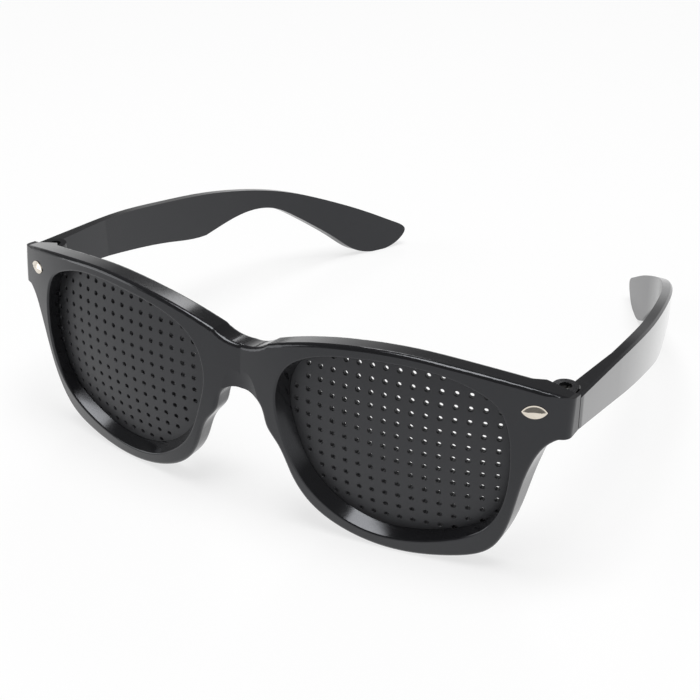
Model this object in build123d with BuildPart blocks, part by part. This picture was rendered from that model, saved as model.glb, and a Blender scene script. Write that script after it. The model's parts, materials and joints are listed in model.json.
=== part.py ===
"""Pinhole glasses: a moulded front with two perforated plates and two folding temples.

X runs across, Y runs back along the temples and Z is up. X = 0 is the middle plane and the
origin is on the floor below the middle of the whole. Depths are measured from the plates'
centres, and at() turns them into the part's own Y.
"""
from build123d import *
import os
from math import ceil, cos, hypot, radians, sin, sqrt, tan

os.makedirs("parts", exist_ok=True)

# Front: overall sizes
front_width = 143.0
front_height = 49.35
lens_spacing = 72.5
lens_height = 23.85
overrun = 10.0
tolerance = 0.001

# Curved shells: the plates' sphere, and the face and the back of the rims around it
plate_radius = 117.0
plate_wrap = 8.04
plate_thickness = 1.2
face_lead = 3.7
face_slip = 1.6
face_rise = 2.3
back_lip = 0.8
top_slant = 9.0
front_round = 0.9
back_round = 1.2

# Plates and their holes
plate_fit = 0.1
plate_seat = 0.9
hole_pitch = 3.0
hole_diameter = 1.0
funnel_diameter = 1.2
funnel_depth = 0.2
hole_margin = 0.75
grid_shift = 1.05
grid_drop = 0.25
right_grid_turn = 1.0
left_grid_turn = 0.2

# Eye openings: how much they narrow over the lead, and how that narrowing leans
opening_inset = 0.9
opening_shift = 0.4
opening_rise = 0.85
opening_round = 0.45

# Bridge: a vertical groove down its front and a dip in its top
groove_radius = 11.5
groove_depth = 1.9
groove_tilt = 2.7
dip_radius = 11.5

# Nose pads
pad_x = 13.8
pad_length = 17.0
pad_thickness = 3.0
pad_depth = 8.5
pad_splay = 2.0
pad_lean = 27.0
pad_share = 0.8
pad_round = 0.8

# End pieces and hinges
end_depth = 12.0
end_slant = 6.0
end_round = 2.2
hinge_radius = 2.75
knuckle_count = 3
hinge_bottom = 35.3
hinge_top = 42.9
hinge_gap = 0.3
knuckle_setback = 2.4
screw_radius = 0.7
screw_head_radius = 1.3
screw_head_height = 0.8
screw_recess = 1.5
screw_slot = 0.4
screw_floor = 0.6
screw_fit = 0.05

# Rivet inlays on the face
rivet_x = 64.8
rivet_z = 40.85
rivet_length = 5.2
rivet_width = 2.9
rivet_sunk = 0.6
rivet_rim = 0.3
rivet_edge = 0.15
rivet_proud = 0.55
rivet_ridge = 0.1
rivet_fit = 0.05

# Temples
temple_skin = 1.2
temple_reach = 125.2
temple_straight = 22.7
first_bend_radius = 215.0
first_bend = 13.0
second_bend_radius = 119.0
second_bend = 18.0
temple_thickness = 2.5
temple_root = 3.6
temple_bevel = 0.5

# Outline shares: across by half the width, up by the height
half_width = front_width / 2
rim_shares = [
    (0.052, 0.612), (0.076, 0.575), (0.094, 0.490), (0.131, 0.417), (0.176, 0.271), (0.241, 0.131),
    (0.343, 0.043), (0.507, -0.002), (0.684, 0.029), (0.797, 0.100), (0.848, 0.229), (0.881, 0.427),
    (0.910, 0.585), (0.940, 0.668), (0.985, 0.711),
]
arch_share = 0.625
dip_share = 0.840
brow_shares = [
    (0.098, 0.889), (0.217, 0.945), (0.378, 0.988), (0.538, 1.0), (0.699, 0.979), (0.867, 0.935),
    (0.984, 0.892),
]

# Opening shares: across by half the opening's width and up by half its height, from the lens centre
opening_width = 52.0
opening_height = 44.5
opening_shares = [
    (0.985, 0.02), (0.960, 0.46), (0.855, 0.745), (0.66, 0.90), (0.40, 1.0), (0.08, 1.035),
    (-0.29, 1.01), (-0.69, 0.905), (-0.925, 0.72), (-1.02, 0.40), (-0.955, 0.0), (-0.81, -0.42),
    (-0.57, -0.735), (-0.26, -0.925), (0.08, -0.965), (0.43, -0.895), (0.79, -0.69), (0.925, -0.42),
]

# Temple shares: back by the reach and up by the front's height
temple_top_shares = [
    (0, 0.870), (0.125, 0.840), (0.253, 0.803), (0.369, 0.752), (0.485, 0.700), (0.601, 0.630),
    (0.708, 0.543), (0.812, 0.419), (0.905, 0.285), (0.975, 0.170), (1.0, 0.105), (0.985, 0.042),
    (0.930, -0.002), (0.885, 0.030), (0.835, 0.142), (0.784, 0.261), (0.731, 0.372), (0.675, 0.462),
    (0.623, 0.492), (0.566, 0.487), (0.480, 0.452),
]
temple_low_shares = [
    (0.480, 0.452), (0.434, 0.468), (0.374, 0.508), (0.268, 0.572), (0.142, 0.639), (0, 0.710),
]

# Places that follow from the sizes above
lens_x = lens_spacing / 2
plate_middle_x = lens_x - plate_radius * sin(radians(plate_wrap))
plate_middle_depth = plate_radius * cos(radians(plate_wrap))
face_middle_x = plate_middle_x - face_slip
face_middle_z = lens_height + face_rise
face_radius = hypot(
    lens_x + face_lead * sin(radians(plate_wrap)) - face_middle_x,
    plate_middle_depth + face_lead * cos(radians(plate_wrap)),
    face_rise,
)
back_radius = plate_radius - plate_thickness - back_lip
temple_front = end_depth + hinge_gap
temple_back = temple_front + temple_reach
hinge_x = half_width - temple_skin - hinge_gap - hinge_radius
hinge_depth = end_depth + knuckle_setback
rim_side_x = hinge_x - hinge_radius - hinge_gap
face_front = plate_middle_depth - sqrt(face_radius**2 - (lens_x - opening_width / 2 - face_middle_x) ** 2)
middle_depth = (temple_back + face_front) / 2
end_bottom = rim_shares[-1][1] * front_height


def at(depth):
    """The part's Y of a depth measured from the plates' centres."""
    return depth - middle_depth


def upright(depth):
    """An upright plane across the part that looks forward."""
    return Plane.XZ.offset(-at(depth))


def front_spots(shares):
    """Points of the front's outline from their shares."""
    return [(across * half_width, up * front_height) for across, up in shares]


def opening_spots(margin, shift, rise):
    """Points of the eye opening, widened by a margin and moved by a shift and a rise."""
    across = opening_width / 2 + margin
    up = opening_height / 2 + margin
    return [(lens_x + shift + x * across, lens_height + rise + z * up) for x, z in opening_shares]


def face_depth(x, z):
    """Depth of the face at a place."""
    return plate_middle_depth - sqrt(face_radius**2 - (x - face_middle_x) ** 2 - (z - face_middle_z) ** 2)


def plate_depth(x, z):
    """Depth of the plates' front surface at a place."""
    return plate_middle_depth - sqrt(plate_radius**2 - (x - plate_middle_x) ** 2 - (z - lens_height) ** 2)


plate_middle = (plate_middle_x, at(plate_middle_depth), lens_height)
face_middle = (face_middle_x, at(plate_middle_depth), face_middle_z)
groove_middle = (0, at(face_front - groove_radius + groove_depth), lens_height)


def plate_blank(fit):
    """The right plate without its holes, grown all round by a fit."""
    with BuildPart() as blank:
        with BuildSketch(upright(face_front)):
            with BuildLine():
                margin = plate_seat + fit - opening_inset
                Spline(*opening_spots(margin, opening_shift, opening_rise), periodic=True)
            make_face()
        extrude(amount=-(end_depth + overrun))
        with Locations(plate_middle):
            Sphere(plate_radius + fit, mode=Mode.INTERSECT)
            Sphere(plate_radius - plate_thickness - fit, mode=Mode.SUBTRACT)
    return blank.part


def opening_cutter():
    """The eye opening, narrowing from the face to the back."""
    with BuildPart() as cutter:
        ahead = overrun / face_lead
        behind = (end_depth + overrun) / face_lead
        for steps in (-ahead, behind):
            with BuildSketch(upright(steps * face_lead - face_lead)):
                with BuildLine():
                    Spline(
                        *opening_spots(-opening_inset * steps, opening_shift * steps, opening_rise * steps),
                        periodic=True,
                    )
                make_face()
        loft()
    return cutter.part


def nose_pad():
    """The right nose pad, a fin behind the rim beside the nose."""
    foot_z = lens_height - pad_length / 2 * cos(radians(pad_lean)) + pad_thickness / 2
    with BuildPart() as pad:
        for depth, shift, share in ((face_front + face_lead, 0, 1), (pad_depth, pad_splay, pad_share)):
            plane = Plane(
                origin=(pad_x + shift, at(depth), foot_z),
                x_dir=(cos(radians(pad_lean)), 0, sin(radians(pad_lean))),
                z_dir=(0, -1, 0),
            )
            with BuildSketch(plane):
                SlotOverall(pad_length * share, pad_thickness * share, rotation=90)
        loft()
        fillet(pad.faces().sort_by(Axis.Y)[-1].edges(), pad_round)
    return pad.part


def rear_space():
    """The room behind the right rim, up to the end piece."""
    with BuildPart() as room:
        with Locations(plate_middle):
            Sphere(back_radius)
        with BuildSketch(Plane.XY):
            Polygon(
                (rim_side_x - end_slant, at(-overrun)),
                (rim_side_x - end_slant, at(end_depth - end_slant)),
                (rim_side_x, at(end_depth)),
                (rim_side_x, at(end_depth + front_width)),
                (front_width, at(end_depth + front_width)),
                (front_width, at(-overrun)),
                align=None,
            )
        extrude(amount=front_height + overrun, mode=Mode.SUBTRACT)
    return room.part


def knuckle_heights():
    """Bottom and top of the three knuckles of a hinge, from the lowest."""
    height = (hinge_top - hinge_bottom + hinge_gap) / knuckle_count - hinge_gap
    bottoms = [hinge_bottom + n * (height + hinge_gap) for n in range(knuckle_count)]
    return [(bottom, bottom + height) for bottom in bottoms]


def knuckle(bottom, top, web_depth):
    """One knuckle of the right hinge with a web that runs forward to a depth."""
    with BuildPart() as piece:
        with BuildSketch(Plane.XY.offset(bottom)):
            with Locations((hinge_x, at(hinge_depth))):
                Circle(hinge_radius)
            with Locations((hinge_x, at(hinge_depth))):
                Rectangle(2 * hinge_radius, hinge_depth - web_depth, align=(Align.CENTER, Align.MAX))
        extrude(amount=top - bottom)
    return piece.part


def screw_blank(fit, above):
    """The hinge screw without its slot, grown by a fit and longer by a length above its head."""
    with BuildPart() as blank:
        with Locations((hinge_x, at(hinge_depth), hinge_bottom + screw_floor - fit)):
            Cylinder(
                screw_radius + fit,
                hinge_top - hinge_bottom - screw_floor - screw_recess + screw_head_height / 2,
                align=(Align.CENTER, Align.CENTER, Align.MIN),
            )
        with Locations((hinge_x, at(hinge_depth), hinge_top - screw_recess - fit)):
            Cylinder(
                screw_head_radius + fit,
                screw_head_height + above,
                align=(Align.CENTER, Align.CENTER, Align.MIN),
            )
    return blank.part


def rivet_plane():
    """The plane of the right rivet, on the face and square to it."""
    depth = face_depth(rivet_x, rivet_z)
    normal = (rivet_x - face_middle_x, depth - plate_middle_depth, rivet_z - face_middle_z)
    return Plane(origin=(rivet_x, at(depth), rivet_z), x_dir=(-normal[1], normal[0], 0), z_dir=normal)


def rivet_outline(grow):
    """The rivet's pointed oval, grown by a margin."""
    half_length = rivet_length / 2 + grow
    half_height = rivet_width / 2 + grow
    with BuildSketch() as oval:
        with BuildLine():
            ThreePointArc((-half_length, 0), (0, half_height), (half_length, 0))
            ThreePointArc((half_length, 0), (0, -half_height), (-half_length, 0))
        make_face()
    return oval.sketch


def rivet_seat():
    """The recess that the right rivet sits in, open to the front."""
    with BuildPart() as seat:
        with BuildSketch(rivet_plane().offset(-rivet_sunk - rivet_fit)):
            add(rivet_outline(rivet_fit))
        extrude(amount=rivet_sunk + overrun)
    return seat.part


def temple_profile():
    """Side outline of a temple, back and up, as a face."""
    def spots(shares):
        return [(at(temple_front + back * temple_reach), up * front_height) for back, up in shares]

    with BuildSketch() as profile:
        with BuildLine():
            Spline(*spots(temple_top_shares))
            Spline(*spots(temple_low_shares))
            Line(spots(temple_low_shares)[-1], spots(temple_top_shares)[0])
        make_face()
    return profile.sketch


def right_temple_solid():
    """The right temple with its knuckle, before its screw hole."""
    start = at(temple_front)
    bend = at(temple_front + temple_straight)
    root = at(hinge_depth + hinge_radius + hinge_gap)
    knuckles = knuckle_heights()
    with BuildPart() as piece:
        with BuildSketch(Plane.YZ):
            add(temple_profile())
        extrude(amount=half_width)
        with BuildSketch(Plane.XY.offset(-overrun)):
            with BuildLine():
                ends = []
                for inset in (0, temple_thickness):
                    straight = Line((half_width - inset, bend), (half_width - inset, bend + tolerance))
                    first = JernArc(straight @ 1, straight % 1, first_bend_radius - inset, first_bend)
                    second = JernArc(first @ 1, first % 1, second_bend_radius - inset, second_bend)
                    ends.append(Line(second @ 1, second @ 1 + (second % 1) * (temple_reach / 2)))
                Line(ends[0] @ 1, ends[1] @ 1)
                Polyline(
                    (half_width, bend),
                    (half_width, start),
                    (half_width - temple_root, start),
                    (half_width - temple_root, root),
                    (half_width - temple_thickness, bend),
                )
            make_face()
        extrude(amount=front_height + 2 * overrun, mode=Mode.INTERSECT)
        with BuildSketch(Plane.XY):
            with Locations((hinge_x, at(hinge_depth))):
                Circle(hinge_radius + hinge_gap)
                Rectangle(
                    2 * (hinge_radius + hinge_gap),
                    knuckle_setback + overrun,
                    align=(Align.CENTER, Align.MAX),
                )
        extrude(amount=front_height, mode=Mode.SUBTRACT)
        with BuildSketch(Plane.XY.offset(knuckles[1][0])):
            with Locations((hinge_x, at(hinge_depth))):
                Circle(hinge_radius)
                Rectangle(
                    half_width - hinge_x - temple_bevel,
                    hinge_radius + 2 * hinge_gap,
                    align=(Align.MIN, Align.MIN),
                )
        extrude(amount=knuckles[1][1] - knuckles[1][0])
        add(screw_blank(screw_fit, screw_recess), mode=Mode.SUBTRACT)
        split(bisect_by=Plane.XY)
        outside = piece.edges().filter_by(lambda e: (e @ 0.5).X > half_width - tolerance)
        chamfer(outside.sort_by(Axis.Z)[-1], temple_bevel)
    return piece.part


def plate(shift, rise, turn):
    """A right plate with its funnel holes, whose grid is moved, raised and turned."""
    with BuildSketch() as field:
        with BuildLine():
            margin = -opening_inset - hole_margin
            Spline(*opening_spots(margin, opening_shift, opening_rise), periodic=True)
        make_face()
    count = ceil(opening_width / hole_pitch)
    places = []
    for column in range(-count, count):
        for row in range(-count, count):
            across = (column + 0.5) * hole_pitch
            up = (row + 0.5) * hole_pitch
            x = lens_x + shift + across * cos(radians(turn)) - up * sin(radians(turn))
            z = lens_height + rise + across * sin(radians(turn)) + up * cos(radians(turn))
            if field.sketch.face().is_inside((x, z, 0)):
                spot = Vector(x, at(plate_depth(x, z)), z)
                inward = Vector(*plate_middle) - spot
                places.append(Plane(origin=spot, x_dir=Vector(0, 0, 1).cross(inward), z_dir=inward))
    with BuildPart() as drill:
        with BuildSketch(Plane.XZ):
            with BuildLine():
                Polyline(
                    (0, -overrun / 2),
                    (funnel_diameter / 2, -overrun / 2),
                    (funnel_diameter / 2, 0),
                    (hole_diameter / 2, funnel_depth),
                    (hole_diameter / 2, overrun / 2),
                    (0, overrun / 2),
                    close=True,
                )
            make_face()
        revolve(axis=Axis.Z)
    with BuildPart() as piece:
        add(plate_blank(0))
        with Locations(*places):
            add(drill.part, mode=Mode.SUBTRACT)
    return piece.part


def lies_on(edge, middle, radius):
    """Whether an edge runs on a sphere, away from the middle plane."""
    spot = edge @ 0.5
    return abs((spot - Vector(*middle)).length - radius) < tolerance and spot.X > tolerance


def rim_outline():
    """The right half of the front's outline below and beside, open above, as a face."""
    above = front_height + overrun
    rim = front_spots(rim_shares)
    with BuildSketch() as outline:
        with BuildLine():
            Spline((0, arch_share * front_height), *rim)
            Polyline(
                rim[-1],
                (half_width, rim[-1][1]),
                (half_width, above),
                (0, above),
                (0, arch_share * front_height),
            )
        make_face()
    return outline.sketch


def brow_outline(depth):
    """What lies below the brow and the dip at a depth ahead of the face, from where it slants down."""
    dip, *brow = [
        (x, z + (face_depth(x, z) - depth) * tan(radians(top_slant)))
        for x, z in front_spots([(0, dip_share), *brow_shares])
    ]
    with BuildSketch() as outline:
        with BuildLine():
            RadiusArc(dip, brow[0], -dip_radius)
            Spline(*brow)
            Polyline(
                brow[-1],
                (front_width, brow[-1][1]),
                (front_width, -front_height),
                (0, -front_height),
                dip,
            )
        make_face()
    return outline.sketch


def front_shell():
    """The right half of the rims and bridge, rounded, before its openings and recesses."""
    top_band = (arch_share * front_height, front_height + overrun)
    low_band = (-overrun, end_bottom)
    with BuildPart() as shell:
        with BuildSketch(upright(end_depth)):
            add(rim_outline())
        extrude(amount=end_depth + overrun)
        with BuildSketch(upright(-overrun)):
            add(brow_outline(-overrun))
        slant = (0, cos(radians(top_slant)), -sin(radians(top_slant)))
        extrude(amount=front_width, dir=slant, mode=Mode.INTERSECT)
        with Locations(face_middle):
            Sphere(face_radius, mode=Mode.INTERSECT)
        for lowest, highest in (top_band, low_band):
            edges = shell.edges().filter_by(lambda e: lies_on(e, face_middle, face_radius))
            curved = edges.filter_by(GeomType.BSPLINE)
            fillet(curved.filter_by(lambda e: lowest < (e @ 0.5).Z < highest), front_round)
        edges = shell.edges().filter_by(lambda e: lies_on(e, face_middle, face_radius))
        fillet(edges.sort_by(Axis.X)[-1], end_round)
        with Locations(Location(groove_middle, (groove_tilt, 0, 0))):
            Cylinder(groove_radius, 2 * front_height, mode=Mode.SUBTRACT)
        add(rear_space(), mode=Mode.SUBTRACT)
        for lowest, highest in (top_band, low_band):
            edges = shell.edges().filter_by(lambda e: lies_on(e, plate_middle, back_radius))
            curved = edges.filter_by(GeomType.BSPLINE)
            fillet(curved.filter_by(lambda e: lowest < (e @ 0.5).Z < highest), back_round)
    return shell.part


def front_half():
    """The right half of the front."""
    knuckles = knuckle_heights()
    with BuildPart() as half:
        add(front_shell())
        add(nose_pad())
        add(opening_cutter(), mode=Mode.SUBTRACT)
        rims = half.edges().filter_by(lambda e: e.is_closed and lies_on(e, face_middle, face_radius))
        fillet(rims, opening_round)
        for number in (0, 2):
            add(knuckle(*knuckles[number], end_depth - temple_skin))
        with BuildSketch(Plane.XY.offset(knuckles[1][0] - hinge_gap)):
            with Locations((hinge_x, at(hinge_depth))):
                Circle(hinge_radius + hinge_gap)
        extrude(amount=knuckles[1][1] - knuckles[1][0] + 2 * hinge_gap, mode=Mode.SUBTRACT)
        add(plate_blank(plate_fit), mode=Mode.SUBTRACT)
        add(screw_blank(screw_fit, screw_recess), mode=Mode.SUBTRACT)
        add(rivet_seat(), mode=Mode.SUBTRACT)
    return half.part


with BuildPart() as front_frame:
    add(front_half())
    mirror(about=Plane.YZ)
    split(bisect_by=Plane.XY)
front_frame.part.label = "front_frame"
export_step(front_frame.part, "parts/front_frame.step")

with BuildPart() as right_temple:
    add(right_temple_solid())
right_temple.part.label = "right_temple"
export_step(right_temple.part, "parts/right_temple.step")

with BuildPart() as left_temple:
    mirror(right_temple.part, about=Plane.YZ)
left_temple.part.label = "left_temple"
export_step(left_temple.part, "parts/left_temple.step")

with BuildPart() as right_plate:
    add(plate(-grid_shift, grid_drop, right_grid_turn))
right_plate.part.label = "right_pinhole_plate"
export_step(right_plate.part, "parts/right_pinhole_plate.step")

left_blank = plate(grid_shift, -grid_drop, left_grid_turn)
with BuildPart() as left_plate:
    mirror(left_blank, about=Plane.YZ)
left_plate.part.label = "left_pinhole_plate"
export_step(left_plate.part, "parts/left_pinhole_plate.step")

with BuildPart() as right_screw:
    add(screw_blank(0, 0))
    with BuildSketch(Plane.XY.offset(hinge_top)):
        with Locations((hinge_x, at(hinge_depth))):
            Rectangle(screw_slot, 2 * hinge_radius)
    extrude(amount=-screw_recess - screw_slot + screw_head_height, mode=Mode.SUBTRACT)
right_screw.part.label = "right_hinge_screw"
export_step(right_screw.part, "parts/right_hinge_screw.step")

with BuildPart() as left_screw:
    mirror(right_screw.part, about=Plane.YZ)
left_screw.part.label = "left_hinge_screw"
export_step(left_screw.part, "parts/left_hinge_screw.step")

with BuildPart() as right_rivet:
    with BuildSketch(rivet_plane().offset(-rivet_sunk)):
        add(rivet_outline(0))
    extrude(amount=rivet_sunk + rivet_edge)
    with BuildSketch(rivet_plane().offset(rivet_edge)):
        add(rivet_outline(-rivet_rim))
    with BuildSketch(rivet_plane().offset(rivet_proud)):
        add(rivet_outline(rivet_ridge - rivet_width / 2))
    loft()
right_rivet.part.label = "right_rivet"
export_step(right_rivet.part, "parts/right_rivet.step")

with BuildPart() as left_rivet:
    mirror(right_rivet.part, about=Plane.YZ)
left_rivet.part.label = "left_rivet"
export_step(left_rivet.part, "parts/left_rivet.step")
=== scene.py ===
# %% [markdown]
# # Pinhole glasses
# The object is a pair of black moulded glasses whose lenses are plates full of small holes. The
# measured frame already holds every piece at its real size, so this lesson is about finishes,
# light and the camera. Everything is in metres.

# %% Load the measured frame
import json
from math import radians

import bpy
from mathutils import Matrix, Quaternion, Vector

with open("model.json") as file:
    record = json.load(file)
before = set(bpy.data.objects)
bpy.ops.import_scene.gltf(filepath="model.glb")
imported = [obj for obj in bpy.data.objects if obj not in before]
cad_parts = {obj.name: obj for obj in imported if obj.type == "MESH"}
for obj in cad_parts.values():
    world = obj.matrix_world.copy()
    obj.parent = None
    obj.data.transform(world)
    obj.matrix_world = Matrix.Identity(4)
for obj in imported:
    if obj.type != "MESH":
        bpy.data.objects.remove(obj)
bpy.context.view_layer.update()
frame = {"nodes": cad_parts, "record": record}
millimetre = 0.001
print("nodes:", sorted(frame["nodes"]))

# %% [markdown]
# ## Shader sums written as sums
# A material here is a tree of small nodes. Written by hand each sum takes four lines, so one
# class wraps a socket: a sum on it adds the Math node it needs, and make() adds any other node.


# %% A socket that takes part in sums
class Wire:
    """An output socket of a node tree, usable in sums with numbers and other wires."""

    def __init__(self, tree, socket):
        self.tree = tree
        self.socket = socket

    def make(self, kind, settings, inputs, out=0):
        """Adds a node of a kind to the same tree and returns one of its outputs."""
        node = self.tree.nodes.new(kind)
        for name, value in settings.items():
            setattr(node, name, value)
        for name, value in inputs.items():
            if isinstance(value, Wire):
                self.tree.links.new(value.socket, node.inputs[name])
            else:
                node.inputs[name].default_value = value
        return Wire(self.tree, node.outputs[out])

    def sum(self, operation, first, second):
        return self.make("ShaderNodeMath", {"operation": operation}, {0: first, 1: second})

    def __add__(self, other):
        return self.sum("ADD", self, other)

    def __radd__(self, other):
        return self.sum("ADD", other, self)

    def __rsub__(self, other):
        return self.sum("SUBTRACT", other, self)

    def __mul__(self, other):
        return self.sum("MULTIPLY", self, other)

    def __rmul__(self, other):
        return self.sum("MULTIPLY", other, self)

    def part(self, axis):
        """One component of this wire, which carries a vector."""
        return self.make("ShaderNodeSeparateXYZ", {}, {"Vector": self}, out=axis)

    def noise(self, size, detail=2.0):
        """Soft noise of a feature size in metres, with this wire as its place."""
        inputs = {"Vector": self, "Scale": 1 / size, "Detail": detail}
        return self.make("ShaderNodeTexNoise", {}, inputs)

    def between(self, start, end):
        """This wire from start to end spread over 0 to 1, clamped."""
        inputs = {"Value": self, "From Min": start, "From Max": end}
        return self.make("ShaderNodeMapRange", {}, inputs)

    def blend(self, dark, light):
        """A colour between two colours, with this wire as the share of the second."""
        inputs = {"Factor": self, "A": (*dark, 1), "B": (*light, 1)}
        return self.make("ShaderNodeMix", {"data_type": "RGBA"}, inputs, out="Result")

    def bump(self, strength, depth):
        """A bumped normal, with this wire as the height and a depth in metres."""
        inputs = {"Strength": strength, "Distance": depth, "Height": self}
        return self.make("ShaderNodeBump", {}, inputs)


print("sums:", [name for name in vars(Wire) if name.startswith(("__a", "__r", "__m"))])

# %% [markdown]
# ## One start for every material
# Values that are the same all over go straight into the shader's sockets. What changes over the
# surface is worked out from the place on the object, and is linked by name. The object's own
# place is used rather than a layout of the mesh, because moulded pieces have no seams to follow.
# All the plastic reflects light a little cooler than white, with the usual index of 1.5.


# %% Start and feed a material
def finish(name, uniform):
    """A new material: its shader, with the even values set, and a wire of places on the object."""
    material = bpy.data.materials.new(name)
    material.use_nodes = True
    shader = material.node_tree.nodes["Principled BSDF"]
    for socket, value in uniform.items():
        shader.inputs[socket].default_value = value
    place = material.node_tree.nodes.new("ShaderNodeTexCoord").outputs["Object"]
    return material, shader, Wire(material.node_tree, place)


def feed(shader, **wires):
    """Links wires to the shader, with names such as base_color written for its sockets."""
    for name, wire in wires.items():
        socket = shader.inputs[name.replace("_", " ").title()]
        wire.tree.links.new(wire.socket, socket)


cool_gloss = {"IOR": 1.5, "Specular Tint": (0.93, 0.95, 1, 1)}
print("every plastic starts with", cool_gloss)

# %% [markdown]
# ## Black moulded plastic
# The front and the temples are one glossy black plastic. Such a skin is never quite even: slow
# waves from cooling and a very fine grain break the reflections up. Both are noise, one for the
# roughness and one for the bump, because the colour itself hardly changes.
#
# The outer sides of the temples are polished brighter than the rest. A second material on those
# faces could show that, but a clear coat behind a mask leaves the mesh whole. Place times normal,
# both taken across the object, is large only where a surface far from the middle faces outward.
# The front is left out by its place, and the slanted top bevel by how far its normal turns up.

# %% Frame plastic
near_black = (0.006, 0.006, 0.007)
soft_black = (0.013, 0.013, 0.014)
gloss_roughness = 0.1
outer_side = (25 * millimetre, 40 * millimetre)
turned_up_limits = (0.3, 0.5)
temple_start = (-53 * millimetre, -52 * millimetre)


def frame_plastic():
    """The glossy black of the front and temples, coated on the temples' outer sides."""
    material, shader, place = finish("frame_plastic", cool_gloss)
    waves = place.noise(size=18 * millimetre)
    grain = place.noise(size=0.35 * millimetre, detail=4.0)
    scuffs = place.noise(size=4 * millimetre, detail=6.0).between(start=0.55, end=0.8)
    facing = Wire(place.tree, place.socket.node.outputs["Normal"])
    outward = (place.part("X") * facing.part("X")).between(*outer_side)
    upright = 1 - facing.part("Z").between(*turned_up_limits)
    behind = place.part("Y").between(*temple_start)
    feed(
        shader,
        base_color=(0.6 * waves + 0.4 * grain).blend(near_black, soft_black),
        roughness=gloss_roughness + 0.08 * waves + 0.05 * scuffs,
        normal=grain.bump(strength=0.05, depth=0.02 * millimetre),
        coat_weight=outward * upright * behind,
    )
    return material


black = frame_plastic()
print("made", black.name, "with", len(black.node_tree.nodes), "nodes")

# %% [markdown]
# ## Satin plates
# The plates are the same black, but with the dull satin of a textured mould, and so they look
# greyer than the rims. The frame's material with a higher roughness would come close. A function
# of its own leaves the coat out and lets the grain be finer and deeper. The holes need nothing
# here, because they are real holes in the mesh.

# %% Plate plastic
plate_dark = (0.014, 0.014, 0.015)
plate_light = (0.026, 0.026, 0.028)
satin_roughness = 0.36


def plate_plastic():
    """The duller black of the two plates."""
    material, shader, place = finish("plate_plastic", cool_gloss)
    waves = place.noise(size=15 * millimetre)
    grain = place.noise(size=0.25 * millimetre, detail=4.0)
    feed(
        shader,
        base_color=(0.5 * waves + 0.5 * grain).blend(plate_dark, plate_light),
        roughness=satin_roughness + 0.1 * waves + 0.06 * grain,
        normal=grain.bump(strength=0.12, depth=0.03 * millimetre),
    )
    return material


satin = plate_plastic()
print("made", satin.name, "with", len(satin.node_tree.nodes), "nodes")

# %% [markdown]
# ## Metal
# The inlays on the end pieces are pale polished metal with fine rubbing marks, and the hinge
# screws are darker steel. A picture of scratches could give such marks, but noise needs no file
# and keeps its real size. One function makes both metals from two tones and a roughness.

# %% Rivet and screw metal
warm_tones = ((0.60, 0.54, 0.46), (0.88, 0.82, 0.73))
steel_tones = ((0.10, 0.10, 0.10), (0.24, 0.23, 0.22))


def metal(name, dark, light, roughness):
    """A metal that varies from a dark to a light tone, rougher along its rubbing marks."""
    material, shader, place = finish(name, {"Metallic": 1.0})
    marks = place.noise(size=0.4 * millimetre, detail=5.0)
    cloud = place.noise(size=2.5 * millimetre)
    feed(
        shader,
        base_color=(0.5 * marks + 0.5 * cloud).blend(dark, light),
        roughness=roughness + 0.12 * marks,
        normal=marks.bump(strength=0.1, depth=0.02 * millimetre),
    )
    return material


pale_metal = metal("rivet_metal", *warm_tones, roughness=0.16)
dark_metal = metal("screw_metal", *steel_tones, roughness=0.3)
print("made", pale_metal.name, "and", dark_metal.name)

# %% [markdown]
# ## Give each node its finish
# The record says which slot each node has, and the four finishes carry the slots' names, so a
# loop over the record dresses all nine pieces and can't leave one out.

# %% Assign the finishes
finishes = {
    "frame_plastic": black,
    "plate_plastic": satin,
    "rivet_metal": pale_metal,
    "screw_metal": dark_metal,
}
for entry in frame["record"]["subparts"]:
    node = frame["nodes"][entry["node"]]
    node.data.materials.clear()
    node.data.materials.append(finishes[entry["material_slot"]])
    print(entry["node"], "is", entry["material_slot"])

# %% [markdown]
# ## Floor
# The glasses lie on a seamless white table. A matt plane alone would turn grey away from the
# lamps, and a glowing white one alone would show no shadow. So a pale matt plane takes the soft
# contact shadow, and to the camera and in reflections it is mixed with plain white. The share of
# white grows with the distance until there is nothing else, and so the floor has no far edge.

# %% A wire for what is seen
seen_rays = ("Is Camera Ray", "Is Glossy Ray", "Is Transmission Ray")


def seen(wire):
    """A wire that is 1 for what the camera sees, straight, mirrored or through a clear thing."""
    rays = [wire.make("ShaderNodeLightPath", {}, {}, out=name) for name in seen_rays]
    return (rays[0] + rays[1] + rays[2]).between(0, 1)


print("seen by", seen_rays)

# %% Floor
floor_size = 8.0
floor_greys = ((0.90, 0.90, 0.90), (0.92, 0.92, 0.92))
matt = {"Roughness": 0.9, "Specular IOR Level": 0.1}
white_share = 0.72
whitening = (0.3, 1.5)


def white_floor():
    """A plane of matt white, mixed with plain white in a share that grows with the distance."""
    bpy.ops.mesh.primitive_plane_add(size=floor_size, location=(0, 0, 0))
    floor = bpy.context.object
    floor.name = "floor"
    material, shader, place = finish("floor_white", matt)
    feed(shader, base_color=place.noise(size=0.2).blend(*floor_greys))
    glow = place.make("ShaderNodeEmission", {}, {"Strength": 1.0}, out="Emission")
    distance = place.make("ShaderNodeVectorMath", {"operation": "LENGTH"}, {0: place}, out="Value")
    share = white_share + (1 - white_share) * distance.between(*whitening)
    mixed = place.make("ShaderNodeMixShader", {}, {0: seen(place) * share})
    tree = material.node_tree
    tree.links.new(shader.outputs["BSDF"], mixed.socket.node.inputs[1])
    tree.links.new(glow.socket, mixed.socket.node.inputs[2])
    tree.links.new(mixed.socket, tree.nodes["Material Output"].inputs["Surface"])
    floor.data.materials.append(material)
    return floor


floor = white_floor()
print("floor", floor.dimensions[:2])

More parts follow.
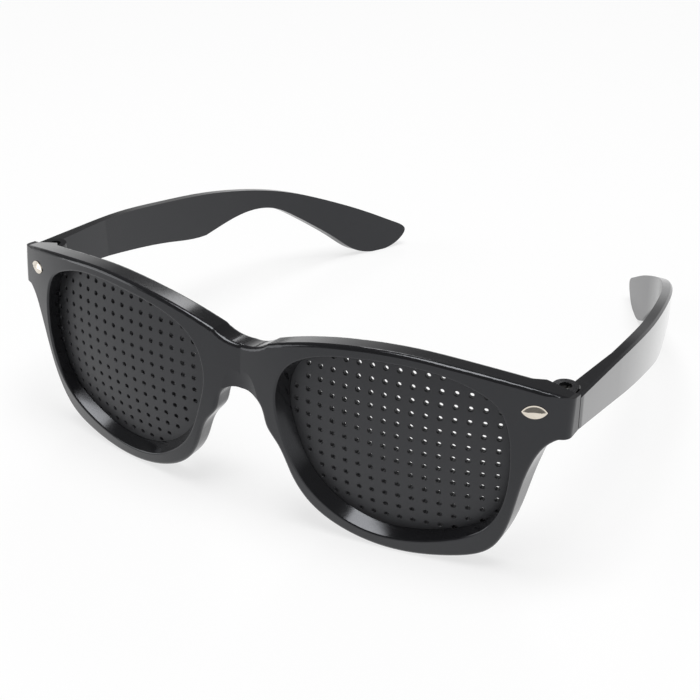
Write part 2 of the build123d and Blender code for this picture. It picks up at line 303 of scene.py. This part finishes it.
# %% [markdown]
# ## Room and lamps
# Black gloss shows mostly what it reflects. An even white room would turn it grey all over, so
# this room is pale at the horizon and dim overhead, which puts the dark and light lines along the
# top edge of the front. To the camera it is plain white. One large soft lamp hangs above, and two
# smaller ones stand behind and in front on the left, whose light runs along the rounded edges.

# %% Room
horizon_strength = 0.9
ceiling_strength = 0.15
ceiling_sine = 0.25


def white_room():
    """A room as strong as the horizon at a level view and as the ceiling from a sine upward."""
    world = bpy.data.worlds.new("white_room")
    bpy.context.scene.world = world
    world.use_nodes = True
    tree = world.node_tree
    background = tree.nodes["Background"]
    background.inputs["Color"].default_value = (1, 1, 1, 1)
    way = Wire(tree, tree.nodes.new("ShaderNodeTexCoord").outputs["Generated"])
    turned_up = way.part("Z").between(0, ceiling_sine)
    strength = horizon_strength + (ceiling_strength - horizon_strength) * turned_up
    camera_ray = way.make("ShaderNodeLightPath", {}, {}, out="Is Camera Ray")
    tree.links.new((strength + camera_ray * (1 - strength)).socket, background.inputs["Strength"])
    return world


room = white_room()
print("made", room.name)

# %% Lamps
lamps = {
    "overhead": {"place": (0.1, -0.1, 1.3), "size": 0.8, "power": 16.0},
    "back_left": {"place": (-0.55, 0.95, 0.75), "size": 0.35, "power": 1.5},
    "front_left": {"place": (-0.95, -0.6, 0.3), "size": 0.6, "power": 2.5},
}


def softbox(name, place, size, power):
    """A square soft lamp that points at the middle of the floor."""
    lamp = bpy.data.objects.new(name, bpy.data.lights.new(name, "AREA"))
    bpy.context.collection.objects.link(lamp)
    lamp.data.size = size
    lamp.data.energy = power
    lamp.location = place
    lamp.rotation_mode = "QUATERNION"
    lamp.rotation_quaternion = (-Vector(place)).to_track_quat("-Z", "Y")
    print(name, "at", place, "watts", power)


for name, lamp in lamps.items():
    softbox(name, **lamp)
bpy.context.scene.view_settings.view_transform = "Standard"

# %% [markdown]
# ## Camera
# The camera stands to the right of the front and above it, with a long lens. It could be placed
# by eye, but the two grids of holes are mirror images of each other, and matching them gives its
# place, turn and focal length together. A small roll is left over, and is given apart.

# %% Camera
sensor = 36.0
focal_pixels = 1360.14
image_pixels = 700
eye = Vector((151.6, -273.3, 183.2)) * millimetre
aim = Vector((6.08, -34.16, 25.0)) * millimetre
roll = radians(-0.56)
nearest_seen = 0.01

camera = bpy.data.objects.new("camera", bpy.data.cameras.new("camera"))
bpy.context.collection.objects.link(camera)
camera.data.sensor_width = sensor
camera.data.lens = sensor * focal_pixels / image_pixels
camera.data.clip_start = nearest_seen
camera.location = eye
camera.rotation_mode = "QUATERNION"
camera.rotation_quaternion = (aim - eye).to_track_quat("-Z", "Y") @ Quaternion((0, 0, 1), roll)
bpy.context.scene.camera = camera
print("lens in mm:", round(camera.data.lens, 2))
